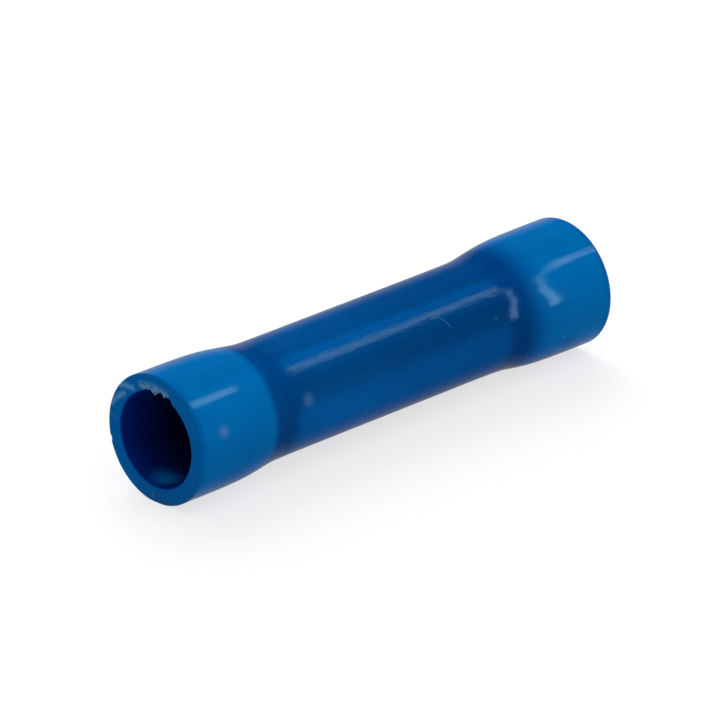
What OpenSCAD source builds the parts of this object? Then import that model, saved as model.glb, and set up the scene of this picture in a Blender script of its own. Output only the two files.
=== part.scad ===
// Insulated butt splice for joining two wires end to end.
// A tinned copper barrel is gripped by a PVC sleeve whose two mouths are flared to take the wires' insulation.
// The splice lies on its side: its axis runs along X, and the mouths touch the ground at Z = 0.

/* [Barrel] */
// Length of the crimp barrel
barrel_length = 15; // [12:0.5:18]
// Diameter of the bore that takes the stripped wire
wire_bore = 2.3; // [1.7:0.1:3.4]
// Wall of the barrel
barrel_wall = 0.8; // [0.6:0.05:1]
// Width of the bevel that leads each wire into the bore
entry_bevel = 0.25; // [0.1:0.05:0.4]
// Width of the bevel around the outside of each end
edge_bevel = 0.1; // [0.05:0.05:0.2]

/* [Wire stop] */
// Height of the rolled-in ring that stops each wire at the middle of the bore
stop_height = 0.5; // [0.3:0.05:0.7]
// Radius of the roller that presses the ring in
roller_radius = 0.6; // [0.5:0.05:1]

/* [Sleeve] */
// Wall of the sleeve where it grips the barrel
grip_wall = 0.77; // [0.5:0.01:1]
// Radial gap between the barrel and the sleeve that grips it
grip_clearance = 0.01; // [0.005:0.005:0.03]

/* [Mouths] */
// How far the bore of each mouth stands out from the barrel, so that the wire's insulation goes in
insulation_step = 0.3; // [0.15:0.05:0.8]
// How much thicker the sleeve is at its mouths than around the barrel
mouth_thickening = 0.06; // [0:0.01:0.3]
// Distance before the barrel's end at which the outside of the sleeve begins to flare
flare_lead = 1.15; // [0:0.05:2]
// Distance from the barrel's end to the straight part of the mouth
flare_length = 2.8; // [1.5:0.05:4]
// Length of the straight, full-width part of each mouth
mouth_length = 2.7; // [2:0.05:6]
// Radius of the rounded outer edge of each mouth
outer_lip_round = 0.15; // [0.1:0.05:0.45]
// Radius of the rounded inner edge of each mouth
inner_lip_round = 0.1; // [0.05:0.05:0.25]
// Width of the slight flat that each mouth has underneath, where it lies
rest_flat = 1.2; // [0.6:0.1:2]

/* [Hidden] */
$fn = 96;
bend_chords = 8;

barrel_half = barrel_length / 2;
bore_r = wire_bore / 2;
barrel_r = bore_r + barrel_wall;
roller_centre_r = barrel_r + roller_radius - stop_height;

grip_bore_r = barrel_r + grip_clearance;
grip_r = grip_bore_r + grip_wall;
mouth_bore_r = barrel_r + insulation_step;
mouth_r = mouth_bore_r + grip_wall + mouth_thickening;
flare_start = barrel_half - flare_lead;
mouth_start = barrel_half + flare_length;
sleeve_half = mouth_start + mouth_length;
axis_height = sqrt(mouth_r * mouth_r - rest_flat * rest_flat / 4);

// Turns a half section about the splice's axis. Its radius is drawn along X and its length along Y.
module turned() {
    translate([0, 0, axis_height])
        rotate([0, -90, 0])
            rotate_extrude()
                children();
}

// Outline, from the axis out, of one half of a bar that swells from a neck to a mouth.
// Two equal arcs, tangent to each other and to the straight sides, make the swelling. Short chords draw them.
module swelling_half(neck_radius, mouth_radius, swell_start) {
    rise = mouth_radius - neck_radius;
    run = mouth_start - swell_start;
    bend_radius = (run * run + rise * rise) / (4 * rise);
    bend_angle = 2 * atan(rise / run);
    turns = [for (i = [0:bend_chords]) bend_angle * i / bend_chords];
    outward = [for (turn = turns)
        [neck_radius + bend_radius * (1 - cos(turn)), swell_start + bend_radius * sin(turn)]];
    inward = [for (i = [bend_chords - 1:-1:0])
        [mouth_radius - bend_radius * (1 - cos(turns[i])), mouth_start - bend_radius * sin(turns[i])]];
    foot = [[0, 0], [neck_radius, 0]];
    lip = [[mouth_radius, sleeve_half], [0, sleeve_half]];
    polygon(concat(foot, outward, inward, lip));
}

// What a rounded edge takes off a square corner at the origin that points along +X and +Y.
module corner_waste(radius) {
    translate([-radius, -radius])
        difference() {
            square(2 * radius);
            circle(r = radius);
        }
}

// Wall of one half of the sleeve, from its middle out to a rounded lip.
module sleeve_half_section() {
    difference() {
        swelling_half(grip_r, mouth_r, flare_start);
        swelling_half(grip_bore_r, mouth_bore_r, barrel_half);
        translate([mouth_r, sleeve_half])
            corner_waste(outer_lip_round);
        translate([mouth_bore_r, sleeve_half])
            mirror([1, 0])
                corner_waste(inner_lip_round);
    }
}

// Outline, from the axis out, of a straight bar as long as the barrel, with both ends bevelled to another radius.
module bevelled_bar(radius, end_radius) {
    bevel = abs(end_radius - radius);
    polygon([
        [0, -barrel_half],
        [end_radius, -barrel_half],
        [radius, bevel - barrel_half],
        [radius, barrel_half - bevel],
        [end_radius, barrel_half],
        [0, barrel_half]
    ]);
}

// All that lies below the ground, which leaves the mouths flat where they rest.
module below_ground() {
    translate([0, 0, -mouth_r])
        cube([3 * sleeve_half, 3 * mouth_r, 2 * mouth_r], center = true);
}

// PVC tube that insulates the barrel and covers the ends of the wires' own insulation.
module insulating_sleeve() {
    color("#0a5ca8")
        difference() {
            turned() {
                sleeve_half_section();
                mirror([0, 1])
                    sleeve_half_section();
            }
            below_ground();
        }
}

// Tinned copper tube that is crimped onto both wires. A ring rolled in around its middle stops them.
module crimp_barrel() {
    color("#c9c8c2")
        turned()
            difference() {
                bevelled_bar(barrel_r, barrel_r - edge_bevel);
                difference() {
                    bevelled_bar(bore_r, bore_r + entry_bevel);
                    translate([roller_centre_r, 0])
                        circle(r = roller_radius + barrel_wall);
                }
                translate([roller_centre_r, 0])
                    circle(r = roller_radius);
            }
}

insulating_sleeve();
crimp_barrel();
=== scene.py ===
"""Looks of an insulated butt splice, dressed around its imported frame.

The splice is a blue vinyl sleeve with a flared mouth at each end, and it grips a tinned copper barrel.
Sizes are given in millimetres and angles in degrees. Meshes are made in metres, in the frame's own axes:
+X along the splice, +Z up, with the ground at Z = 0. An angle around the splice is 0 where the surface
faces -Y, and 90 on top.
"""

from __future__ import annotations

import logging
import math
from collections.abc import Iterable, Iterator, Sequence
from contextlib import contextmanager
from dataclasses import dataclass, field
from enum import Enum

import bpy
import numpy as np
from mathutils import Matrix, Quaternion, Vector, noise

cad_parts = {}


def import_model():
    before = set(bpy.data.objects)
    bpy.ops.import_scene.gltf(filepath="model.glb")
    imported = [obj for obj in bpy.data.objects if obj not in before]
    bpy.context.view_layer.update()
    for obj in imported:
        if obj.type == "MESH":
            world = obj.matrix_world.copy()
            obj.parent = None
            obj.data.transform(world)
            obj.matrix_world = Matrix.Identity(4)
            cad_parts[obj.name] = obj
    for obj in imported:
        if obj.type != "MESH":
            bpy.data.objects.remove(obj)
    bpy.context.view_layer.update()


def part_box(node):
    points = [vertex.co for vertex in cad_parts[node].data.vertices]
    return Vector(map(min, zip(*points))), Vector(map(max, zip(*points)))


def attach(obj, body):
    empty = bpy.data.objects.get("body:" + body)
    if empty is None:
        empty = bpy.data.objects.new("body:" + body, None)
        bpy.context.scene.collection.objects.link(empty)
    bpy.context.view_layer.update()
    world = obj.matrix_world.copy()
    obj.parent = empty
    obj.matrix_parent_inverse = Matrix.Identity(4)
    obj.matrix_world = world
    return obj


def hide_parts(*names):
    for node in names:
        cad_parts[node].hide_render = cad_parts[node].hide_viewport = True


log = logging.getLogger("butt_splice")

MM = 0.001
BODY = "root"
WHITENING = "whitening"
PVC_IOR = 1.53
ROUNDING = 1e-9
WHITE = (1.0, 1.0, 1.0, 1.0)

Point = tuple[float, float]
Place = tuple[float, float, float]
Shades = tuple[Point, ...]
Colour = tuple[float, float, float, float]
Numbers = np.ndarray | float
Piece = bpy.types.Object
Tree = bpy.types.NodeTree
Socket = bpy.types.NodeSocket


class Side(Enum):
    """The two ends of the splice, by the sign of X."""

    NEAR = -1
    FAR = 1


# Small tools shared by the materials


def linear(hex_colour: str) -> Colour:
    """Turn an sRGB hex colour into linear RGBA.

    Args:
        hex_colour: Six hex digits after a hash sign.

    Returns:
        The linear colour, fully opaque.
    """
    channels = [int(hex_colour[at : at + 2], 16) / 255 for at in (1, 3, 5)]
    red, green, blue = [c / 12.92 if c <= 0.04045 else ((c + 0.055) / 1.055) ** 2.4 for c in channels]
    return red, green, blue, 1.0


def add_node(tree: Tree, kind: str, inputs: dict | None = None, **settings) -> bpy.types.Node:
    """Add a node to a tree, with its settings and links.

    Args:
        tree: The tree that gets the node.
        kind: The node's type, without its ShaderNode prefix.
        inputs: A value or an output socket for each input, by its name or number.
        **settings: The node's own properties.

    Returns:
        The new node.
    """
    made = tree.nodes.new("ShaderNode" + kind)
    for name, value in settings.items():
        setattr(made, name, value)
    for name, value in (inputs or {}).items():
        if isinstance(value, Socket):
            tree.links.new(value, made.inputs[name])
        else:
            made.inputs[name].default_value = value
    return made


def fill_ramp(ramp: bpy.types.ColorRamp, stops: Sequence[tuple[float, Colour]]) -> None:
    """Give a colour ramp its stops.

    Args:
        ramp: The ramp, as a new node has it, with two stops.
        stops: Position from 0 to 1 and colour of each stop, in order.
    """
    while len(ramp.elements) < len(stops):
        ramp.elements.new(1.0)
    for element, (position, colour) in zip(ramp.elements, stops):
        element.position = position
        element.color = colour


def new_material(name: str) -> tuple[bpy.types.Material, Tree]:
    """Make a material with an empty node tree.

    Args:
        name: What the material is.

    Returns:
        The material and its tree.
    """
    material = bpy.data.materials.new(name)
    material.use_nodes = True
    material.node_tree.nodes.clear()
    return material, material.node_tree


# Small tools shared by the meshes


def deselect_all() -> None:
    """Leave object mode with nothing selected, so that an operator touches only what is chosen next."""
    if bpy.context.mode != "OBJECT":
        bpy.ops.object.mode_set(mode="OBJECT")
    bpy.ops.object.select_all(action="DESELECT")


def choose(piece: Piece) -> None:
    """Make one piece the only one selected, and the active one.

    Args:
        piece: The piece that the next operators work on.
    """
    deselect_all()
    piece.select_set(True)
    bpy.context.view_layer.objects.active = piece


@contextmanager
def editing(piece: Piece) -> Iterator[None]:
    """Work on one piece's mesh in edit mode, all of it selected, and go back to object mode after.

    Args:
        piece: The mesh object to edit.
    """
    choose(piece)
    bpy.ops.object.mode_set(mode="EDIT")
    bpy.ops.mesh.select_mode(type="VERT")
    bpy.ops.mesh.select_all(action="SELECT")
    yield
    bpy.ops.object.mode_set(mode="OBJECT")


def apply_place(piece: Piece) -> None:
    """Move an object's place, turn and scale into its mesh, so that the object sits at the origin."""
    choose(piece)
    bpy.ops.object.transform_apply(location=True, rotation=True, scale=True)


def name_new(name: str) -> Piece:
    """Name the primitive that was just added.

    Args:
        name: Name of the piece and of its mesh.

    Returns:
        The piece.
    """
    piece = bpy.context.object
    piece.name = name
    piece.data.name = name
    return piece


def draw_line(name: str, places: Sequence[Place]) -> Piece:
    """Draw a line of edges point by point, from a small plane merged into its first point.

    Args:
        name: Name of the new piece.
        places: The points, in order.

    Returns:
        The line, as a mesh at the origin.
    """
    deselect_all()
    bpy.ops.mesh.primitive_plane_add(size=MM, location=[c * MM for c in places[0]])
    piece = name_new(name)
    apply_place(piece)
    with editing(piece):
        bpy.ops.mesh.merge(type="CENTER")
        for here, there in zip(places, places[1:]):
            move = [(end - start) * MM for start, end in zip(here, there)]
            bpy.ops.mesh.extrude_vertices_move(TRANSFORM_OT_translate={"value": move})
    return piece


def read_places(piece: Piece) -> np.ndarray:
    """Read where a mesh's vertices are.

    Args:
        piece: The mesh object.

    Returns:
        One row of three numbers for each vertex.
    """
    flat = np.empty(len(piece.data.vertices) * 3, np.float32)
    piece.data.vertices.foreach_get("co", flat)
    return flat.reshape(-1, 3).astype(float) / MM


def write_places(piece: Piece, places: np.ndarray) -> None:
    """Move a mesh's vertices to new places, one row of three numbers for each."""
    piece.data.vertices.foreach_set("co", (places * MM).astype(np.float32).ravel())
    piece.data.update()


def around(x: Numbers, radius: Numbers, angle: Numbers, axis_height: float) -> np.ndarray:
    """Places by position along the splice's axis, distance from it and angle around it."""
    turn = np.radians(angle)
    return np.stack([x, -radius * np.cos(turn), axis_height + radius * np.sin(turn)], axis=-1)


def waves(places: Iterable[Sequence[float]]) -> np.ndarray:
    """Smooth noise of unit wavelength, about -1 to 1. A spare coordinate picks a patch of it."""
    return np.array([noise.noise(Vector(place)) for place in places])


def smooth_step(value: np.ndarray, low: float, high: float) -> np.ndarray:
    """A soft step from 0 at low to 1 at high. It falls instead where low is the larger."""
    share = np.clip((value - low) / (high - low), 0.0, 1.0)
    return share * share * (3 - 2 * share)


def steps(start: float, stop: float, longest: float) -> list[float]:
    """Even stations between two values, both included, with no step longer than is allowed."""
    count = max(1, math.ceil(abs(stop - start) / longest - ROUNDING))
    return [start + (stop - start) * k / count for k in range(count + 1)]


def arc(centre: Point, radius: float, begin: float, end: float, count: int) -> list[Point]:
    """Points of a half section along an arc, both ends included. Angles go from +X to the outside."""
    angles = [math.radians(begin + (end - begin) * k / count) for k in range(count + 1)]
    return [(centre[0] + radius * math.cos(a), centre[1] + radius * math.sin(a)) for a in angles]


# Turned pieces


@dataclass
class Turning:
    """A piece turned about the splice's axis, from a closed outline of its half section."""

    name: str
    axis_height: float
    turns: int
    weld: float = 0.002

    def outline(self) -> list[Point]:
        """The closed half section: positions along the axis and distances from it."""
        raise NotImplementedError

    def turn(self) -> Piece:
        """Draw the outline, and spin it around the axis.

        Returns:
            The turned piece, with its doubles merged and its faces pointing outwards.
        """
        points = self.outline()
        piece = draw_line(self.name, [(x, 0.0, self.axis_height + r) for x, r in points + points[:1]])
        with editing(piece):
            axis_centre = (0, 0, self.axis_height * MM)
            bpy.ops.mesh.spin(steps=self.turns, angle=math.tau, center=axis_centre, axis=(1, 0, 0))
            bpy.ops.mesh.select_all(action="SELECT")
            bpy.ops.mesh.remove_doubles(threshold=self.weld * MM)
            bpy.ops.mesh.normals_make_consistent(inside=False)
        bpy.ops.object.shade_smooth()
        return piece


@dataclass
class Sculptor:
    """Reads a turned mesh by position, distance and angle about its axis, and writes it back."""

    piece: Piece
    axis_height: float

    def __post_init__(self) -> None:
        """Read every vertex."""
        self.place = read_places(self.piece)
        self.x = self.place[:, 0].copy()
        across = -self.place[:, 1]
        above = self.place[:, 2] - self.axis_height
        self.radius = np.hypot(across, above)
        self.angle = np.degrees(np.arctan2(above, across))

    def apart(self, angle: float) -> np.ndarray:
        """How far each vertex lies from an angle around the axis, from -180 to 180 degrees."""
        return (self.angle - angle + 180) % 360 - 180

    def ripple(self, wavelength: float, seed: float) -> np.ndarray:
        """Smooth noise over the surface, about -1 to 1, from the patch of noise that the seed picks."""
        shift = Vector((seed, -seed, 2 * seed))
        return waves(Vector(p) / wavelength + shift for p in self.place)

    def write(self) -> None:
        """Put every vertex where its values now say, but never below the ground."""
        places = around(self.x, self.radius, self.angle, self.axis_height)
        places[:, 2] = np.maximum(places[:, 2], 0.0)
        write_places(self.piece, places)

    def store(self, name: str, values: np.ndarray) -> None:
        """Keep one value for each vertex as an attribute that a material can read."""
        attribute = self.piece.data.attributes.new(name, "FLOAT", "POINT")
        attribute.data.foreach_set("value", values.astype(np.float32))


# The sleeve and its wear


@dataclass(frozen=True)
class Tooth:
    """A ragged tooth of torn film, hanging towards the axis."""

    angle: float
    half_width: float
    tip_radius: float


@dataclass(frozen=True)
class WhiteStreak:
    """A line on the mouth's face, by angle and radius, along which the cut has whitened the vinyl."""

    begin: Point
    end: Point
    width: float
    strength: float


@dataclass
class MouthWear:
    """What the cut left on the near mouth: an inner edge torn back, whitened streaks and a notch.

    A pair of numbers for a depth or a wall says where a mark begins to show and where it is full, as depths
    from the mouth's face or distances from its bore.
    """

    torn_from: float = 66.0
    torn_to: float = 119.0
    torn_fade: float = 4.0
    torn_back: float = 0.16
    torn_deep: float = 0.09
    torn_mean: float = 0.8
    torn_spread: float = 0.5
    torn_ripple: float = 0.12
    torn_seed: float = 3.0
    edge_depth: Point = (0.2, 0.0)
    edge_wall: Point = (0.36, 0.12)
    white_depth: Point = (0.35, 0.1)
    streaks: tuple[WhiteStreak, ...] = (
        WhiteStreak((125.0, 2.53), (138.5, 3.02), 0.23, 1.0),
        WhiteStreak((141.0, 2.62), (161.0, 2.98), 0.23, 1.0),
        WhiteStreak((72.0, 2.6), (113.0, 2.66), 0.16, 0.5),
        WhiteStreak((110.0, 2.62), (111.0, 2.8), 0.05, 0.6),
        WhiteStreak((171.5, 2.4), (172.5, 2.95), 0.05, 0.3),
        WhiteStreak((266.0, 2.6), (266.6, 2.82), 0.06, 0.9),
    )
    notch_angle: float = 195.0
    notch_width: float = 3.0
    notch_cut: float = 0.06
    notch_depth: Point = (0.5, 0.2)
    notch_wall: Point = (0.35, 0.75)

    def carve(self, work: Sculptor, half_length: float, bore_radius: float) -> np.ndarray:
        """Tear the inner edge back and nick the outer one.

        Args:
            work: The sleeve's vertices.
            half_length: Half the sleeve's length.
            bore_radius: Radius of the mouth's bore.

        Returns:
            How whitened each vertex is, from 0 to 1.
        """
        depth = work.x + half_length
        wall = work.radius - bore_radius
        from_middle = np.abs(work.apart((self.torn_from + self.torn_to) / 2))
        half_span = (self.torn_to - self.torn_from) / 2
        torn = smooth_step(from_middle, half_span + self.torn_fade, half_span - self.torn_fade)
        torn *= smooth_step(depth, *self.edge_depth) * smooth_step(wall, *self.edge_wall)
        ragged = self.torn_mean + self.torn_spread * work.ripple(self.torn_ripple, self.torn_seed)
        face = smooth_step(depth, *self.white_depth)
        white = np.zeros_like(depth)
        for streak in self.streaks:
            white = np.maximum(white, streak.strength * face * self.along(work, streak))
        notch = np.clip(1 - (work.apart(self.notch_angle) / self.notch_width) ** 2, 0.0, 1.0)
        notch *= smooth_step(wall, *self.notch_wall) * smooth_step(depth, *self.notch_depth)
        work.radius += self.torn_back * torn * ragged - self.notch_cut * notch
        work.x += self.torn_deep * torn
        return white

    @staticmethod
    def along(work: Sculptor, streak: WhiteStreak) -> np.ndarray:
        """How close each vertex lies to a streak.

        Args:
            work: The sleeve's vertices.
            streak: The streak.

        Returns:
            One value for each vertex, from 0 outside the streak's width to 1 on its line.
        """
        (begin_angle, begin_r), (end_angle, end_r) = streak.begin, streak.end
        turn = np.radians(work.apart((begin_angle + end_angle) / 2))
        half_turn = math.radians(end_angle - begin_angle) / 2
        mean_r = (begin_r + end_r) / 2
        start = np.array([-half_turn * mean_r, begin_r])
        run = np.array([2 * half_turn * mean_r, end_r - begin_r])
        away = np.stack([turn * mean_r, work.radius], axis=-1) - start
        share = np.clip(away @ run / (run @ run), 0.0, 1.0)
        distance = np.linalg.norm(away - share[:, None] * run, axis=-1)
        return smooth_step(distance, streak.width, 0.0)


@dataclass
class TornFilm:
    """Thin film of vinyl that the cut left hanging from the near mouth's inner edge, ragged and crumpled."""

    name: str
    axis_height: float
    half_length: float
    from_angle: float = 67.5
    to_angle: float = 117.5
    root_radius: float = 2.6
    root_wander: float = 0.06
    wander_turn: float = 4.0
    edge_radius: float = 2.44
    edge_jitter: float = 0.03
    jitter_turn: float = 1.3
    end_taper: float = 0.1
    tooth_power: float = 0.75
    thickness: float = 0.04
    curl: float = 0.16
    curl_reach: float = 0.5
    crumple: float = 0.035
    fold_turn: float = 3.0
    fold_rows: float = 3.0
    columns: int = 160
    rows: int = 12
    weld: float = 0.001
    teeth: tuple[Tooth, ...] = (
        Tooth(73.0, 3.0, 2.36),
        Tooth(78.5, 3.6, 2.14),
        Tooth(88.0, 5.0, 2.27),
        Tooth(92.5, 4.5, 2.12),
        Tooth(97.0, 4.0, 2.02),
        Tooth(103.0, 4.0, 2.3),
        Tooth(110.0, 5.0, 2.34),
    )

    def ragged_edge(self, angle: np.ndarray) -> np.ndarray:
        """Find the film's torn edge, with its teeth and a fine jitter.

        Args:
            angle: Angles around the axis.

        Returns:
            Radius of the edge at each angle.
        """
        edge = np.full_like(angle, self.edge_radius)
        for tooth in self.teeth:
            share = np.clip(1 - np.abs(angle - tooth.angle) / tooth.half_width, 0.0, 1.0)
            drop = (self.edge_radius - tooth.tip_radius) * share**self.tooth_power
            edge = np.minimum(edge, self.edge_radius - drop)
        return edge + self.edge_jitter * waves((a / self.jitter_turn, 0.0, 4.0) for a in angle)

    def build(self) -> Piece:
        """Lay a grid along the edge, tear it, crumple it and give it its thickness.

        Returns:
            The film, riding on the frame with the sleeve.
        """
        deselect_all()
        bpy.ops.mesh.primitive_grid_add(x_subdivisions=self.columns, y_subdivisions=self.rows, size=MM)
        piece = name_new(self.name)
        across, inward = read_places(piece)[:, :2].T + 0.5
        angle = self.from_angle + (self.to_angle - self.from_angle) * across
        root = self.root_radius + self.root_wander * waves((a / self.wander_turn, 7.0, 0.0) for a in angle)
        ends = smooth_step(across, 0.0, self.end_taper) * smooth_step(across, 1.0, 1 - self.end_taper)
        edge = root + (self.ragged_edge(angle) - root) * ends
        radius = root + (edge - root) * inward
        folds = waves((a / self.fold_turn, self.fold_rows * v, 9.0) for a, v in zip(angle, inward))
        hang = np.clip((self.root_radius - radius) / self.curl_reach, 0.0, 1.0)
        x = -self.half_length + self.thickness + self.curl * hang**2 + self.crumple * (folds + 1) * hang
        write_places(piece, around(x, radius, angle, self.axis_height))
        with editing(piece):
            bpy.ops.mesh.remove_doubles(threshold=self.weld * MM)
            bpy.ops.mesh.normals_make_consistent(inside=False)
        bpy.ops.object.modifier_add(type="SOLIDIFY")
        wall = piece.modifiers[-1]
        wall.thickness = self.thickness * MM
        wall.offset = 0.0
        bpy.ops.object.modifier_apply(modifier=wall.name)
        bpy.ops.object.shade_smooth()
        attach(piece, BODY)
        return piece


@dataclass
class Sleeve(Turning):
    """Vinyl tube that insulates the barrel, with a flared mouth for the insulation of each wire."""

    turns: int = 384
    half_length: float = 13.0
    mouth_radius: float = 3.08
    mouth_bore: float = 2.25
    grip_radius: float = 2.73
    grip_bore: float = 1.96
    flare_centre: float = 8.02
    neck_bend: float = 0.9
    mouth_bend: float = 1.45
    sag: float = 0.04
    sag_fade: float = 1.5
    outer_lip: float = 0.1
    outer_lip_steps: int = 10
    inner_lip: float = 0.1
    inner_lip_steps: int = 7
    lip_guard: float = 0.005
    station: float = 0.25
    face_station: float = 0.05
    bore_station: float = 0.3
    bore_edge: float = 0.3
    straight_bore: float = 6.0
    skin_above_bore: float = 0.3
    skin_below_outside: float = 0.1
    ripple_height: float = 0.002
    ripple_length: float = 1.6
    ripple_seed: float = 1.0
    wear: MouthWear = field(default_factory=MouthWear)

    def swell(self, x: float, neck: float, mouth: float) -> float:
        """Radius of the tube at a place along the axis, where it widens smoothly from neck to mouth.

        Args:
            x: The place along the axis.
            neck: Radius before the swelling.
            mouth: Radius after it.

        Returns:
            The radius there.
        """
        beyond = abs(x) - self.flare_centre
        bend = self.neck_bend if beyond < 0 else self.mouth_bend
        slope = (mouth - neck) / (self.neck_bend + self.mouth_bend)
        return neck + slope * (self.neck_bend + bend * math.tanh(beyond / bend))

    def lip(self, side: Side) -> list[Point]:
        """The rounded end of the wall.

        Args:
            side: The end of the splice.

        Returns:
            Its half section, from the outside to the bore.
        """
        end = self.half_length
        outer_centre = (end - self.outer_lip, self.mouth_radius - self.outer_lip)
        outer = arc(outer_centre, self.outer_lip, 90, 0, self.outer_lip_steps)
        inner_centre = (end - self.inner_lip, self.mouth_bore + self.inner_lip)
        inner = arc(inner_centre, self.inner_lip, 0, -90, self.inner_lip_steps)
        face = [(end, r) for r in steps(outer[-1][1], inner[0][1], self.face_station)[1:-1]]
        return [(side.value * x, r) for x, r in outer + face + inner]

    def outline(self) -> list[Point]:
        """The wall's half section. A guard ring before each lip keeps the outside's shading straight.

        Returns:
            Points along the outside, round the far lip, back along the bore and round the near lip.
        """
        outer_end = self.half_length - self.outer_lip
        guard = outer_end - self.lip_guard
        stations = [-guard] + steps(-outer_end, outer_end, self.station)[1:-1] + [guard]
        outside = [(x, self.swell(x, self.grip_radius, self.mouth_radius)) for x in stations]
        inner_end = self.half_length - self.inner_lip
        fine_end = inner_end - self.bore_edge
        stations = steps(inner_end, fine_end, self.face_station)[1:]
        stations += steps(fine_end, self.straight_bore, self.bore_station)[1:]
        far_bore = [(x, self.swell(x, self.grip_bore, self.mouth_bore)) for x in stations]
        near_bore = [(-x, r) for x, r in reversed(far_bore)]
        return outside + self.lip(Side.FAR) + far_bore + near_bore + self.lip(Side.NEAR)[::-1]

    def build(self) -> Piece:
        """Turn the sleeve, and give it the marks of its making and use.

        Returns:
            The finished sleeve, riding on the frame in place of its solid.
        """
        piece = self.turn()
        work = Sculptor(piece, self.axis_height)
        skin_from = self.grip_bore + self.skin_above_bore
        skin = smooth_step(work.radius, skin_from, self.grip_radius - self.skin_below_outside)
        white = self.wear.carve(work, self.half_length, self.mouth_bore)
        work.radius += skin * self.ripple_height * work.ripple(self.ripple_length, self.ripple_seed)
        waist = smooth_step(np.abs(work.x), self.flare_centre, self.flare_centre - self.sag_fade)
        work.radius -= skin * waist * self.sag * np.sin(np.radians(work.angle))
        work.write()
        work.store(WHITENING, white)
        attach(piece, BODY)
        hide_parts("insulating_sleeve")
        return piece


@dataclass
class LintFibre:
    """A stray hair of lint that clings to the waist, through places along the axis and around it."""

    name: str
    axis_height: float
    surface: float
    thickness: float = 0.034
    roundness: int = 2
    places: tuple[Point, ...] = (
        (2.3, 43.4), (2.5, 43.6), (2.68, 42.8), (2.84, 40.6), (2.97, 37.4), (3.08, 33.4),
        (3.17, 28.6),
    )

    def build(self) -> Piece:
        """Draw the hair point by point along the surface, and round it into a thread.

        Returns:
            The hair, riding on the frame with the sleeve.
        """
        x, angle = np.array(self.places).T
        piece = draw_line(self.name, around(x, self.surface, angle, self.axis_height).tolist())
        bpy.ops.object.convert(target="CURVE")
        piece.data.bevel_depth = self.thickness / 2 * MM
        piece.data.bevel_resolution = self.roundness
        piece.data.use_fill_caps = True
        bpy.ops.object.convert(target="MESH")
        bpy.ops.object.shade_smooth()
        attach(piece, BODY)
        return piece


# The barrel


@dataclass
class Barrel(Turning):
    """Tinned copper tube that is crimped onto both wires, with a ring rolled in to stop them."""

    turns: int = 128
    half_length: float = 7.5
    bore: float = 1.15
    outside: float = 1.95
    entry_bevel: float = 0.25
    edge_bevel: float = 0.1
    stop_height: float = 0.5
    roller_radius: float = 0.6
    groove_steps: int = 16
    ring_steps: int = 20
    station: float = 0.5
    crease: float = 35.0

    def outline(self) -> list[Point]:
        """The wall's half section, with the roller's groove outside and the ring it pressed up inside.

        Returns:
            Points along the outside, down the far end, back along the bore and up the near end.
        """
        end = self.half_length
        centre = (0.0, self.outside + self.roller_radius - self.stop_height)
        ring_radius = self.roller_radius + self.outside - self.bore
        groove_turn = math.degrees(math.acos((centre[1] - self.outside) / self.roller_radius))
        ring_turn = math.degrees(math.acos((centre[1] - self.bore) / ring_radius))
        groove = arc(centre, self.roller_radius, -90 - groove_turn, -90 + groove_turn, self.groove_steps)
        ring = arc(centre, ring_radius, -90 + ring_turn, -90 - ring_turn, self.ring_steps)
        near_half = [(x, self.outside) for x in steps(self.edge_bevel - end, groove[0][0], self.station)[:-1]]
        far_half = [(x, self.bore) for x in steps(end - self.entry_bevel, ring[0][0], self.station)[:-1]]
        far_end = [(end, self.outside - self.edge_bevel), (end, self.bore + self.entry_bevel)]
        outside = near_half + groove + [(-x, r) for x, r in reversed(near_half)]
        bore = far_half + ring + [(-x, r) for x, r in reversed(far_half)]
        return outside + far_end + bore + [(-x, r) for x, r in reversed(far_end)]

    def build(self) -> Piece:
        """Turn the barrel, with its bevels left crisp.

        Returns:
            The barrel, riding on the frame in place of its solid.
        """
        piece = self.turn()
        choose(piece)
        bpy.ops.object.shade_smooth_by_angle(angle=math.radians(self.crease))
        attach(piece, BODY)
        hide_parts("crimp_barrel")
        return piece


# Finishes


@dataclass(frozen=True)
class Finish:
    """One material: each kind of finish works out what goes into a surface that all kinds share."""

    name: str = ""

    def sockets(self, tree: Tree, place: Socket) -> dict:
        """What goes into the surface's sockets, by their names."""
        raise NotImplementedError

    def dress(self, piece: Piece) -> None:
        """Make the material and give it to a piece.

        Args:
            piece: The piece that takes the finish.
        """
        material, tree = new_material(self.name)
        place = add_node(tree, "TexCoord").outputs["Object"]
        surface = add_node(tree, "BsdfPrincipled", self.sockets(tree, place))
        add_node(tree, "OutputMaterial", {"Surface": surface.outputs["BSDF"]})
        piece.data.materials.append(material)


@dataclass(frozen=True)
class Clouds:
    """Two colours that drift into each other in patches, as values of the noise from low to high."""

    low_colour: str
    high_colour: str
    size: float
    fade: Point
    detail: float
    roughness: float = 0.5

    def colour(self, tree: Tree, place: Socket) -> Socket:
        """Lay the clouds.

        Args:
            tree: The material's tree.
            place: Where each point lies.

        Returns:
            The colour.
        """
        spots = {"Vector": place, "Scale": 1 / (self.size * MM)}
        levels = {"Detail": self.detail, "Roughness": self.roughness}
        patches = add_node(tree, "TexNoise", {**spots, **levels}).outputs["Fac"]
        ramp = add_node(tree, "ValToRGB", {"Fac": patches})
        colours = (linear(self.low_colour), linear(self.high_colour))
        fill_ramp(ramp.color_ramp, list(zip(self.fade, colours)))
        return ramp.outputs["Color"]


@dataclass(frozen=True)
class Zone:
    """One stop of the sleeve's colour along its length, pigment tone with painted light and shade in it."""

    x: float
    colour: str


@dataclass(frozen=True)
class Bloom:
    """A round spot of another colour that fades into the vinyl's skin, outside or in the bore: a speck, a
    painted highlight or a painted pool of light.
    """

    x: float
    angle: float
    width: float
    strength: float
    colour: str
    in_bore: bool = False


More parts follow.
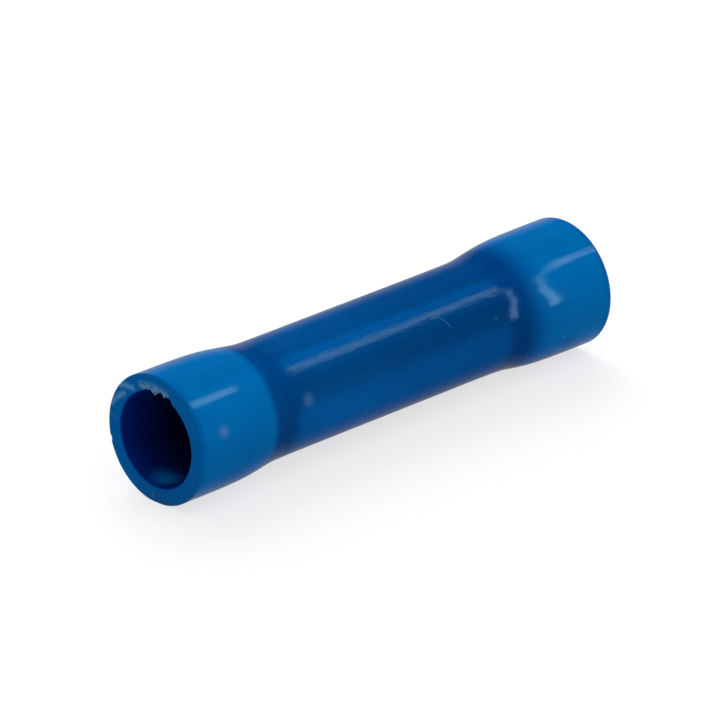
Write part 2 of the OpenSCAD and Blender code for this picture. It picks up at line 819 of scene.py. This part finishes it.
@dataclass(frozen=True)
class VinylFinish(Finish):
    """Extruded plasticised PVC, pigmented blue.

    The colour paints light and shade: the thin stretched mouths are painted paler, as light coming through
    them, the necks where the wall closes on the barrel are painted darkest, as shade, and bands by height and
    a few spots add more painted light and shade. The skin is semi-gloss, and it whitens where it has been cut
    or torn.
    Its grain is finer in truth, and is drawn coarse enough to break up the highlight on the waist.
    """

    name: str = "plasticised_pvc_blue"
    sleeve: Sleeve = field(kw_only=True)
    # Pale stops on the mouths are painted light through the thin wall, the dark stops at the necks (-8.1 to
    # -7.2 and 7.1 to 7.85) are painted shade, and the waist is a little lighter about -5.0.
    zones: tuple[Zone, ...] = (
        Zone(-13.0, "#0067ab"),
        Zone(-8.52, "#0066aa"),
        Zone(-8.1, "#004384"),
        Zone(-7.2, "#003f7d"),
        Zone(-6.5, "#014a8a"),
        Zone(-5.0, "#015093"),
        Zone(0.0, "#014a8a"),
        Zone(6.3, "#004584"),
        Zone(7.1, "#003c7a"),
        Zone(7.85, "#003d7d"),
        Zone(8.7, "#005b9e"),
        Zone(9.4, "#0067ab"),
        Zone(13.0, "#0067ab"),
    )
    zone_wander: float = 0.12
    zone_patch: float = 2.0
    mottle_patch: float = 1.4
    mottle_depth: float = 0.10
    # Painted light and shade on the front of the waist, by height: darker across the front, lighter
    # underneath, and a painted sheen just above the highlight.
    waist_painted_shading: Shades = (
        (-1.0, 1.3), (-0.4, 1.46), (-0.24, 1.4), (0.0, 1.3), (0.14, 1.12), (0.28, 0.89),
        (0.4, 0.85), (0.53, 0.87), (0.62, 0.98), (0.7, 1.05), (0.78, 1.36), (0.83, 1.45),
        (0.89, 1.0), (0.95, 0.94), (1.0, 0.96),
    )
    # The same painted shading on the back of the waist, softer.
    back_painted_shading: Shades = (
        (-1.0, 1.3), (-0.4, 1.4), (0.0, 1.2), (0.3, 0.98), (0.5, 0.94), (0.8, 0.98), (1.0, 0.96),
    )
    # Painted light on the mouths, by height: lighter across the front and underneath.
    mouth_painted_light: Shades = (
        (-1.0, 1.2), (-0.65, 1.2), (-0.4, 1.14), (-0.14, 1.0), (0.14, 1.06), (0.28, 1.12),
        (0.41, 1.16), (0.53, 1.19), (0.62, 1.22), (0.74, 1.23), (0.81, 1.16), (0.87, 1.08),
        (0.95, 1.02), (1.0, 1.02),
    )
    brightest_shade: float = 1.6
    back_fade: float = 0.7
    waist_margin: float = 0.6
    waist_fade: float = 1.2
    # The cut faces are a little darker than the mouths, partly their own colour and partly painted shade. The
    # bore's colours are painted shade, darkest deep inside.
    face_tone_and_shade: str = "#0060a8"
    face_fade: Point = (0.5, 0.02)
    bore_shade_colour: str = "#00267c"
    bore_fade: Point = (0.1, 0.02)
    deep_bore_shade: str = "#000f40"
    deep_fade: Point = (0.3, 3.2)
    white_colour: str = "#5290be"
    fleck_size: float = 0.09
    fleck_fade: Point = (0.35, 0.6)
    fleck_least: float = 0.5
    # The first two are painted highlights of a small lamp, the next two are pale specks, and the one in the
    # bore is a painted pool of light on its lower wall.
    specks_and_highlights: tuple[Bloom, ...] = (
        Bloom(-11.6, 16.75, 0.46, 0.5, "#5a86c4"),
        Bloom(-6.1, 13.75, 0.5, 0.5, "#5074ad"),
        Bloom(5.95, 21.0, 0.12, 0.3, "#5f8fb8"),
        Bloom(10.1, -22.0, 0.14, 0.4, "#4f9cc8"),
        Bloom(-12.1, 264.0, 1.02, 0.95, "#0072c4", in_bore=True),
    )
    tint: str = "#8cdcff"
    roughness: float = 0.085
    specular_level: float = 0.05
    grain_size: float = 0.12
    grain_stretch: float = 3.0
    grain_height: float = 0.002
    waist_grain: float = 5.5
    grain_fade: float = 1.0

    def sockets(self, tree: Tree, place: Socket) -> dict:
        """Lay the colour on layer by layer, and add the grain.

        Args:
            tree: The material's tree.
            place: Where each point lies.

        Returns:
            What goes into the surface's sockets.
        """
        colour = self.zone_colour(tree, place)
        colour = self.shade_sides(tree, place, colour)
        colour = self.shade_ends(tree, place, colour)
        colour = self.whiten(tree, place, colour)
        for bloom in self.specks_and_highlights:
            colour = self.add_bloom(tree, place, colour, bloom)
        return {
            "Base Color": colour,
            "Roughness": self.roughness,
            "IOR": PVC_IOR,
            "Specular IOR Level": self.specular_level,
            "Specular Tint": linear(self.tint),
            "Normal": self.grain(tree, place),
        }

    @staticmethod
    def from_middle(tree: Tree, place: Socket) -> Socket:
        """How far each point lies from the splice's middle, along the axis."""
        along = add_node(tree, "SeparateXYZ", {"Vector": place}).outputs["X"]
        return add_node(tree, "Math", {0: along}, operation="ABSOLUTE").outputs[0]

    def zone_colour(self, tree: Tree, place: Socket) -> Socket:
        """Colour along the length, with painted light on the mouths and painted shade at the necks,
        borders that wander a little and a faint mottle in the pigment.

        Args:
            tree: The material's tree.
            place: Where each point lies.

        Returns:
            The colour.
        """
        half = self.sleeve.half_length
        along = add_node(tree, "SeparateXYZ", {"Vector": place}).outputs["X"]
        patches = {"Vector": place, "Scale": 1 / (self.zone_patch * MM), "Detail": 2.0}
        wander = add_node(tree, "TexNoise", patches).outputs["Fac"]
        reach = {"To Min": -self.zone_wander * MM, "To Max": self.zone_wander * MM}
        offset = add_node(tree, "MapRange", {"Value": wander, **reach}).outputs["Result"]
        moved = add_node(tree, "Math", {0: along, 1: offset}, operation="ADD").outputs[0]
        span = {"From Min": -half * MM, "From Max": half * MM}
        share = add_node(tree, "MapRange", {"Value": moved, **span}).outputs["Result"]
        ramp = add_node(tree, "ValToRGB", {"Fac": share})
        stops = [((zone.x + half) / (2 * half), linear(zone.colour)) for zone in self.zones]
        fill_ramp(ramp.color_ramp, stops)
        patches = {"Vector": place, "Scale": 1 / (self.mottle_patch * MM), "Detail": 4.0}
        mottle = add_node(tree, "TexNoise", patches).outputs["Fac"]
        reach = {"To Min": 1 - self.mottle_depth, "To Max": 1 + self.mottle_depth}
        level = add_node(tree, "MapRange", {"Value": mottle, **reach}).outputs["Result"]
        shaded = {0: ramp.outputs["Color"], "Scale": level}
        return add_node(tree, "VectorMath", shaded, operation="SCALE").outputs["Vector"]

    def band(self, tree: Tree, height: Socket, radius: float, shades: Shades) -> Socket:
        """Painted light and shade: brightness by height on a tube.

        Args:
            tree: The material's tree.
            height: Height of each point above the ground.
            radius: Radius of the tube.
            shades: Heights as shares of the radius, each with its brightness, from below to above.

        Returns:
            The brightness.
        """
        middle = self.sleeve.axis_height
        span = {"From Min": (middle - radius) * MM, "From Max": (middle + radius) * MM}
        share = add_node(tree, "MapRange", {"Value": height, **span}).outputs["Result"]
        ramp = add_node(tree, "ValToRGB", {"Fac": share})
        greys = [((at + 1) / 2, shade / self.brightest_shade) for at, shade in shades]
        fill_ramp(ramp.color_ramp, [(at, (grey, grey, grey, 1.0)) for at, grey in greys])
        factors = {0: ramp.outputs["Color"], 1: self.brightest_shade}
        return add_node(tree, "Math", factors, operation="MULTIPLY").outputs[0]

    def shade_sides(self, tree: Tree, place: Socket, colour: Socket) -> Socket:
        """Paint light and shade by height: the mouths painted lighter, and the waist painted darker across
        its front, lighter underneath and lighter just above its highlight, softer on the back.

        Args:
            tree: The material's tree.
            place: Where each point lies.
            colour: The colour so far.

        Returns:
            The colour in bands.
        """
        axes = add_node(tree, "SeparateXYZ", {"Vector": place}).outputs
        start = self.sleeve.flare_centre - self.waist_margin
        reach = {"From Min": start * MM, "From Max": (start - self.waist_fade) * MM}
        out = self.from_middle(tree, place)
        waist = add_node(tree, "MapRange", {"Value": out, **reach}, interpolation_type="SMOOTHSTEP")
        # Painted light and shade by height: one band for the mouths, and front and back bands for the waist.
        painted_mouth_light = self.band(tree, axes["Z"], self.sleeve.mouth_radius, self.mouth_painted_light)
        front = self.band(tree, axes["Z"], self.sleeve.grip_radius, self.waist_painted_shading)
        back = self.band(tree, axes["Z"], self.sleeve.grip_radius, self.back_painted_shading)
        reach = {"From Min": -self.back_fade * MM, "From Max": self.back_fade * MM}
        behind = add_node(tree, "MapRange", {"Value": axes["Y"], **reach}).outputs["Result"]
        painted_waist_shading = add_node(tree, "Mix", {0: behind, 2: front, 3: back}).outputs[0]
        level = add_node(tree, "Mix", {0: waist.outputs["Result"], 2: painted_mouth_light, 3: painted_waist_shading}).outputs[0]
        shaded = {0: colour, "Scale": level}
        return add_node(tree, "VectorMath", shaded, operation="SCALE").outputs["Vector"]

    def shade_ends(self, tree: Tree, place: Socket, colour: Socket) -> Socket:
        """Give the cut faces their colour, partly their own and partly painted shade, and paint shade into
        the bore, darker the further in it lies.

        Args:
            tree: The material's tree.
            place: Where each point lies.
            colour: The colour so far.

        Returns:
            The colour with both mouths in it.
        """
        end = self.sleeve.half_length
        out = self.from_middle(tree, place)
        reach = {"From Min": (end - self.face_fade[0]) * MM, "From Max": (end - self.face_fade[1]) * MM}
        face = add_node(tree, "MapRange", {"Value": out, **reach}, interpolation_type="SMOOTHSTEP")
        layers = {0: face.outputs["Result"], 6: colour, 7: linear(self.face_tone_and_shade)}
        cut = add_node(tree, "Mix", layers, data_type="RGBA").outputs[2]
        centre = (0.0, 0.0, self.sleeve.axis_height * MM)
        centred = add_node(tree, "VectorMath", {0: place, 1: centre}, operation="SUBTRACT").outputs["Vector"]
        across = add_node(tree, "VectorMath", {0: centred, 1: (0.0, 1.0, 1.0)}, operation="MULTIPLY")
        radius = add_node(tree, "VectorMath", {0: across.outputs["Vector"]}, operation="LENGTH")
        bore = self.sleeve.mouth_bore
        reach = {"From Min": (bore + self.bore_fade[0]) * MM, "From Max": (bore + self.bore_fade[1]) * MM}
        inside = add_node(tree, "MapRange", {"Value": radius.outputs["Value"], **reach}).outputs["Result"]
        reach = {"From Min": (end - self.deep_fade[0]) * MM, "From Max": (end - self.deep_fade[1]) * MM}
        depth = add_node(tree, "MapRange", {"Value": out, **reach}).outputs["Result"]
        # Painted shade in the bore, darker the further in.
        layers = {0: depth, 6: linear(self.bore_shade_colour), 7: linear(self.deep_bore_shade)}
        wall = add_node(tree, "Mix", layers, data_type="RGBA").outputs[2]
        return add_node(tree, "Mix", {0: inside, 6: cut, 7: wall}, data_type="RGBA").outputs[2]

    def whiten(self, tree: Tree, place: Socket, colour: Socket) -> Socket:
        """Pale, blotchy patches where the cut has scraped the vinyl.

        Args:
            tree: The material's tree.
            place: Where each point lies.
            colour: The colour so far.

        Returns:
            The colour with the patches in it.
        """
        amount = add_node(tree, "Attribute", attribute_name=WHITENING).outputs["Fac"]
        spots = {"Vector": place, "Scale": 1 / (self.fleck_size * MM), "Detail": 3.0, "Roughness": 0.65}
        flecks = add_node(tree, "TexNoise", spots).outputs["Fac"]
        least, most = self.fleck_fade
        reach = {"From Min": least, "From Max": most, "To Min": self.fleck_least, "To Max": 1.0}
        blotch = add_node(tree, "MapRange", {"Value": flecks, **reach}).outputs["Result"]
        mask = add_node(tree, "Math", {0: amount, 1: blotch}, operation="MULTIPLY").outputs[0]
        layers = {0: mask, 6: colour, 7: linear(self.white_colour)}
        return add_node(tree, "Mix", layers, data_type="RGBA").outputs[2]

    def add_bloom(self, tree: Tree, place: Socket, colour: Socket, bloom: Bloom) -> Socket:
        """Fade one spot into the skin: a speck, a painted highlight or a painted pool of light.

        Args:
            tree: The material's tree.
            place: Where each point lies.
            colour: The colour so far.
            bloom: The spot.

        Returns:
            The colour with the spot in it.
        """
        sleeve = self.sleeve
        skin = (sleeve.grip_radius, sleeve.mouth_radius)
        if bloom.in_bore:
            skin = (sleeve.grip_bore, sleeve.mouth_bore)
        radius = sleeve.swell(bloom.x, *skin)
        centre = tuple(around(bloom.x, radius, bloom.angle, sleeve.axis_height) * MM)
        apart = add_node(tree, "VectorMath", {0: place, 1: centre}, operation="DISTANCE").outputs["Value"]
        reach = {"From Min": bloom.width * MM, "From Max": 0.0, "To Max": bloom.strength}
        mask = add_node(tree, "MapRange", {"Value": apart, **reach}, interpolation_type="SMOOTHSTEP")
        layers = {0: mask.outputs["Result"], 6: colour, 7: linear(bloom.colour)}
        return add_node(tree, "Mix", layers, data_type="RGBA").outputs[2]

    def grain(self, tree: Tree, place: Socket) -> Socket:
        """A fine relief drawn out along the tube, and stronger on the waist.

        Args:
            tree: The material's tree.
            place: Where each point lies.

        Returns:
            The surface's normal.
        """
        drawn = add_node(tree, "Mapping", {"Vector": place, "Scale": (1 / self.grain_stretch, 1.0, 1.0)})
        spots = {"Vector": drawn.outputs["Vector"], "Scale": 1 / (self.grain_size * MM), "Detail": 2.0}
        grain = add_node(tree, "TexNoise", spots).outputs["Fac"]
        start = self.sleeve.flare_centre - self.waist_margin
        reach = {"From Min": start * MM, "From Max": (start - self.grain_fade) * MM}
        levels = {"Value": self.from_middle(tree, place), "To Min": 1.0, "To Max": self.waist_grain}
        stronger = add_node(tree, "MapRange", {**levels, **reach}).outputs["Result"]
        skin = add_node(tree, "Math", {0: grain, 1: stronger}, operation="MULTIPLY").outputs[0]
        relief = {"Height": skin, "Strength": 1.0, "Distance": self.grain_height * MM}
        return add_node(tree, "Bump", relief).outputs["Normal"]


@dataclass(frozen=True)
class ScrapedFinish(Finish):
    """PVC torn thin by a blunt cutter: whitened by the strain, matt and cloudy."""

    name: str = "strain_whitened_pvc"
    clouds: Clouds = Clouds("#23669e", "#6297be", 0.14, (0.36, 0.62), 3.0, 0.6)
    roughness: float = 0.55
    specular_level: float = 0.2
    grain_size: float = 0.06
    grain_height: float = 0.006

    def sockets(self, tree: Tree, place: Socket) -> dict:
        """Cloud the colour, and roughen the film.

        Args:
            tree: The material's tree.
            place: Where each point lies.

        Returns:
            What goes into the surface's sockets.
        """
        spots = {"Vector": place, "Scale": 1 / (self.grain_size * MM), "Detail": 2.0}
        grain = add_node(tree, "TexNoise", spots).outputs["Fac"]
        relief = {"Height": grain, "Strength": 1.0, "Distance": self.grain_height * MM}
        return {
            "Base Color": self.clouds.colour(tree, place),
            "Roughness": self.roughness,
            "IOR": PVC_IOR,
            "Specular IOR Level": self.specular_level,
            "Normal": add_node(tree, "Bump", relief).outputs["Normal"],
        }


@dataclass(frozen=True)
class TinFinish(Finish):
    """Electro-tinned copper: a soft, satin white metal with faint drawing lines along the tube.

    The lines lie closer together in truth, and are drawn coarse enough to show.
    """

    name: str = "tinned_copper_satin"
    clouds: Clouds = Clouds("#b3b0a8", "#d2d0ca", 1.8, (0.35, 0.65), 4.0)
    roughness: float = 0.34
    roughness_spread: float = 0.08
    line_spacing: float = 0.12
    line_stretch: float = 30.0
    line_height: float = 0.0015

    def sockets(self, tree: Tree, place: Socket) -> dict:
        """Dull the colour in clouds, and draw the lines.

        Args:
            tree: The material's tree.
            place: Where each point lies.

        Returns:
            What goes into the surface's sockets.
        """
        drawn = add_node(tree, "Mapping", {"Vector": place, "Scale": (1 / self.line_stretch, 1.0, 1.0)})
        spots = {"Vector": drawn.outputs["Vector"], "Scale": 1 / (self.line_spacing * MM), "Detail": 2.0}
        lines = add_node(tree, "TexNoise", spots).outputs["Fac"]
        low, high = self.roughness - self.roughness_spread, self.roughness + self.roughness_spread
        satin = add_node(tree, "MapRange", {"Value": lines, "To Min": low, "To Max": high})
        relief = {"Height": lines, "Strength": 1.0, "Distance": self.line_height * MM}
        return {
            "Base Color": self.clouds.colour(tree, place),
            "Metallic": 1.0,
            "Roughness": satin.outputs["Result"],
            "Normal": add_node(tree, "Bump", relief).outputs["Normal"],
        }


@dataclass(frozen=True)
class LintFinish(Finish):
    """A blue-grey cotton or polyester hair: matt, with a faint unevenness along it."""

    name: str = "cotton_lint"
    clouds: Clouds = Clouds("#2a649c", "#4f83b4", 0.2, (0.35, 0.65), 2.0)
    roughness: float = 0.7
    specular_level: float = 0.1

    def sockets(self, tree: Tree, place: Socket) -> dict:
        """Uneven colour along the hair, and hardly any gloss."""
        matt = {"Roughness": self.roughness, "Specular IOR Level": self.specular_level}
        return {"Base Color": self.clouds.colour(tree, place), **matt}


# The studio


def direction(azimuth: float, elevation: float) -> Vector:
    """Unit vector towards a place around the splice.

    Args:
        azimuth: Angle from -Y towards +X.
        elevation: Angle above the ground.

    Returns:
        The direction.
    """
    turn = math.radians(azimuth)
    rise = math.radians(elevation)
    return Vector((math.sin(turn) * math.cos(rise), -math.cos(turn) * math.cos(rise), math.sin(rise)))


def aim(name: str, data: bpy.types.ID, away: Vector, distance: float, target: Vector) -> Piece:
    """Put a lamp or the camera some way off the splice, facing it.

    Args:
        name: Name of the new object.
        data: The lamp or camera.
        away: Direction in which it stands, of unit length.
        distance: How far off it stands.
        target: The point that it faces, in metres.

    Returns:
        The object, linked into the scene.
    """
    holder = bpy.data.objects.new(name, data)
    holder.location = target + away * distance * MM
    holder.rotation_euler = (-away).to_track_quat("-Z", "Y").to_euler()
    bpy.context.scene.collection.objects.link(holder)
    return holder


@dataclass(frozen=True)
class Sky:
    """A far, soft lamp that shades surfaces and casts shadows, and does not show as a highlight."""

    name: str
    azimuth: float
    elevation: float
    spread: float
    strength: float
    distance: float = 500.0

    def light(self, target: Vector) -> None:
        """Hang the lamp.

        Args:
            target: The point that the lamp faces, in metres.
        """
        lamp = bpy.data.lights.new(self.name, "SUN")
        lamp.energy = self.strength
        lamp.angle = math.radians(self.spread)
        holder = aim(self.name, lamp, direction(self.azimuth, self.elevation), self.distance, target)
        holder.visible_glossy = False


@dataclass(frozen=True)
class Strip:
    """A lamp that faces the splice from a direction around it, and shows in the gloss alone.

    Its size is given as the angles that it spans. Layers of different sizes make its edges soft.
    """

    name: str
    azimuth: float
    elevation: float
    width: float
    height: float
    radiance: float
    lean: float = 0.0
    distance: float = 3000.0
    layers: tuple[float, ...] = (0.5, 0.85, 1.15, 1.5)

    def light(self, target: Vector) -> None:
        """Hang the lamp.

        Args:
            target: The point that the lamp faces, in metres.
        """
        away = direction(self.azimuth, self.elevation)
        lean = Quaternion((0.0, 0.0, 1.0), math.radians(-self.lean))
        turn = ((-away).to_track_quat("-Z", "Y") @ lean).to_euler()
        reach = 2 * self.distance * MM
        for share in self.layers:
            lamp = bpy.data.lights.new(self.name, "AREA")
            lamp.shape = "RECTANGLE"
            lamp.size = reach * math.tan(math.radians(self.width * share / 2))
            lamp.size_y = reach * math.tan(math.radians((self.height + self.width * (share - 1)) / 2))
            lamp.energy = self.radiance / len(self.layers) * math.pi * lamp.size * lamp.size_y
            holder = aim(self.name, lamp, away, self.distance, target)
            holder.rotation_euler = turn
            holder.visible_diffuse = False


@dataclass
class Studio:
    """A white floor, soft light from above and behind, and strip lamps that draw the highlights.

    The gloss mirrors a dimmer floor with painted shadow: darkest in front of the splice, and along a painted
    dark strip beside the near mouth.
    """

    axis_height: float
    floor_size: float = 3000.0
    floor_depth: float = 0.004
    floor_albedo: float = 0.74
    floor_glow: float = 0.7
    floor_mirrored: float = 0.12
    # The floor's reflection is painted dark in front of the splice as its shadow, and along a strip beside
    # the near mouth as shade.
    front_edge: float = -3.4
    front_mirrored: float = 0.04
    back_edge: float = -1.7
    back_mirrored: float = 0.38
    dark_strip_middle: float = -18.5
    dark_strip_width: float = 10.0
    dark_strip_fade: float = 1.0
    backdrop_azimuth: float = 141.0
    backdrop_elevation: float = -8.0
    backdrop_edge: float = 0.84
    backdrop_mirrored: float = 0.48
    skies: tuple[Sky, ...] = (
        Sky("sky_lamp", 150.0, 36.0, 55.0, 2.2),
        Sky("sky_dome", 40.0, 70.0, 180.0, 1.75),
        Sky("front_lamp", 5.0, 60.0, 50.0, 0.6),
    )
    strips: tuple[Strip, ...] = (
        Strip("key_strip", 63.2, 43.6, 2.6, 7.5, 46.0, lean=51.5),
        Strip("upper_strip", 51.5, 43.2, 4.2, 14.0, 23.0, lean=86.0),
        Strip("corner_strip", 38.2, 34.6, 2.8, 15.0, 56.0, lean=24.0),
        Strip("side_strip", 34.2, 13.5, 2.8, 28.0, 76.0),
    )

    def build(self) -> None:
        """Lay the floor, and hang the sky and the lamps."""
        target = Vector((0, 0, self.axis_height * MM))
        self.lay_floor()
        self.fill_world()
        for lamp in self.skies + self.strips:
            lamp.light(target)

    def lay_floor(self) -> None:
        """A pale floor that looks white, keeps the shadow, and bounces light as pale paper does."""
        deselect_all()
        place = (0, 0, -self.floor_depth * MM)
        bpy.ops.mesh.primitive_plane_add(size=self.floor_size * MM, location=place)
        floor = name_new("studio_floor")
        apply_place(floor)
        material, tree = new_material("matt_white_paper")
        rays = add_node(tree, "LightPath").outputs
        watched = {0: rays["Is Camera Ray"], 1: rays["Is Transmission Ray"]}
        seen = add_node(tree, "Math", watched, operation="MAXIMUM").outputs[0]
        share = add_node(tree, "MapRange", {"Value": seen, "To Max": self.floor_glow}).outputs["Result"]
        layers = {0: rays["Is Glossy Ray"], 2: share, 3: self.mirrored_floor(tree)}
        share = add_node(tree, "Mix", layers).outputs[0]
        reach = {"To Min": self.floor_albedo, "To Max": 1.0}
        albedo = add_node(tree, "MapRange", {"Value": seen, **reach}).outputs["Result"]
        layers = {0: rays["Is Glossy Ray"], 2: albedo, 3: self.floor_mirrored}
        albedo = add_node(tree, "Mix", layers).outputs[0]
        paper = add_node(tree, "BsdfDiffuse", {"Color": albedo}).outputs["BSDF"]
        glow = add_node(tree, "Emission", {"Color": WHITE, "Strength": 1.0}).outputs["Emission"]
        mixed = add_node(tree, "MixShader", {0: share, 1: paper, 2: glow})
        add_node(tree, "OutputMaterial", {"Surface": mixed.outputs["Shader"]})
        floor.data.materials.append(material)

    def mirrored_floor(self, tree: Tree) -> Socket:
        """How much of the floor's glow the gloss mirrors, with painted shadow in front of the splice and a
        painted dark strip beside the near mouth.

        Args:
            tree: The floor's node tree.

        Returns:
            The share of the glow at each point.
        """
        place = add_node(tree, "TexCoord").outputs["Object"]
        axes = add_node(tree, "SeparateXYZ", {"Vector": place}).outputs
        # Painted shade: a dark strip across the floor's reflection beside the near mouth.
        dark_strip = {0: axes["X"], 1: self.dark_strip_middle * MM}
        from_dark_strip = add_node(tree, "Math", dark_strip, operation="SUBTRACT").outputs[0]
        from_dark_strip = add_node(tree, "Math", {0: from_dark_strip}, operation="ABSOLUTE").outputs[0]
        edge = self.dark_strip_width / 2
        reach = {"From Min": (edge - self.dark_strip_fade) * MM, "From Max": edge * MM}
        levels = {"Value": from_dark_strip, "To Max": self.back_mirrored}
        beside = add_node(tree, "MapRange", {**levels, **reach}).outputs["Result"]
        reach = {"From Min": self.front_edge * MM, "From Max": self.back_edge * MM}
        levels = {"Value": axes["Y"], "To Min": self.front_mirrored, "To Max": beside}
        mirrored = add_node(tree, "MapRange", {**levels, **reach}, interpolation_type="SMOOTHSTEP")
        return mirrored.outputs["Result"]

    def fill_world(self) -> None:
        """White all round for the camera, and a backdrop that only mirrors. The lamps do all the lighting."""
        world = bpy.data.worlds.new("studio_world")
        bpy.context.scene.world = world
        world.use_nodes = True
        tree = world.node_tree
        tree.nodes.clear()
        rays = add_node(tree, "LightPath").outputs
        towards = add_node(tree, "TexCoord").outputs["Generated"]
        behind = direction(self.backdrop_azimuth, self.backdrop_elevation)
        facing = add_node(tree, "VectorMath", {0: towards, 1: behind}, operation="DOT_PRODUCT")
        reach = {"From Min": self.backdrop_edge, "From Max": 1.0, "To Max": self.backdrop_mirrored}
        levels = {"Value": facing.outputs["Value"], **reach}
        backdrop = add_node(tree, "MapRange", levels, interpolation_type="SMOOTHSTEP")
        glossy = {0: rays["Is Glossy Ray"], 1: backdrop.outputs["Result"]}
        mirrored = add_node(tree, "Math", glossy, operation="MULTIPLY").outputs[0]
        watched = {0: rays["Is Camera Ray"], 1: rays["Is Transmission Ray"]}
        white = add_node(tree, "Math", watched, operation="MAXIMUM").outputs[0]
        level = add_node(tree, "Math", {0: white, 1: mirrored}, operation="MAXIMUM").outputs[0]
        background = add_node(tree, "Background", {"Color": WHITE, "Strength": level})
        add_node(tree, "OutputWorld", {"Surface": background.outputs["Background"]})


@dataclass
class Viewpoint:
    """The camera, at the photograph's viewing angle, distance and framing."""

    axis_height: float
    azimuth: float = -44.55
    elevation: float = 23.37
    distance: float = 360.0
    image_side: float = 720.0
    focal_pixels: float = 7927.6
    middle_pixel: Point = (364.39, 358.62)
    sensor: float = 36.0
    nearest: float = 10.0
    furthest: float = 20000.0

    def build(self) -> None:
        """Set up the camera and make it the scene's own."""
        lens = bpy.data.cameras.new("photo_camera")
        lens.sensor_width = self.sensor
        lens.lens = self.sensor * self.focal_pixels / self.image_side
        lens.shift_x = 0.5 - self.middle_pixel[0] / self.image_side
        lens.shift_y = self.middle_pixel[1] / self.image_side - 0.5
        lens.clip_start = self.nearest * MM
        lens.clip_end = self.furthest * MM
        target = Vector((0, 0, self.axis_height * MM))
        away = direction(self.azimuth, self.elevation)
        bpy.context.scene.camera = aim("photo_camera", lens, away, self.distance, target)


def main() -> None:
    """Set up the studio, then build the splice's pieces in order and dress them."""
    logging.basicConfig(level=logging.INFO, format="%(message)s")
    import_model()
    bpy.context.scene.view_settings.view_transform = "Standard"
    low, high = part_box("insulating_sleeve")
    half_length = (high.x - low.x) / 2 / MM
    mouth_radius = (high.y - low.y) / 2 / MM
    axis_height = high.z / MM - mouth_radius
    barrel_low, barrel_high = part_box("crimp_barrel")
    half_barrel = (barrel_high.x - barrel_low.x) / 2 / MM

    Viewpoint(axis_height).build()
    Studio(axis_height).build()

    sleeve = Sleeve("vinyl_sleeve", axis_height, half_length=half_length, mouth_radius=mouth_radius)
    pieces = (
        (sleeve, VinylFinish(sleeve=sleeve)),
        (TornFilm("torn_film", axis_height, half_length), ScrapedFinish()),
        (LintFibre("lint_fibre", axis_height, sleeve.grip_radius - sleeve.sag / 2), LintFinish()),
        (Barrel("tinned_barrel", axis_height, half_length=half_barrel), TinFinish()),
    )
    for maker, finish in pieces:
        piece = maker.build()
        finish.dress(piece)
        log.info("%s: %d faces", piece.name, len(piece.data.polygons))


if __name__ == "__main__":
    main()
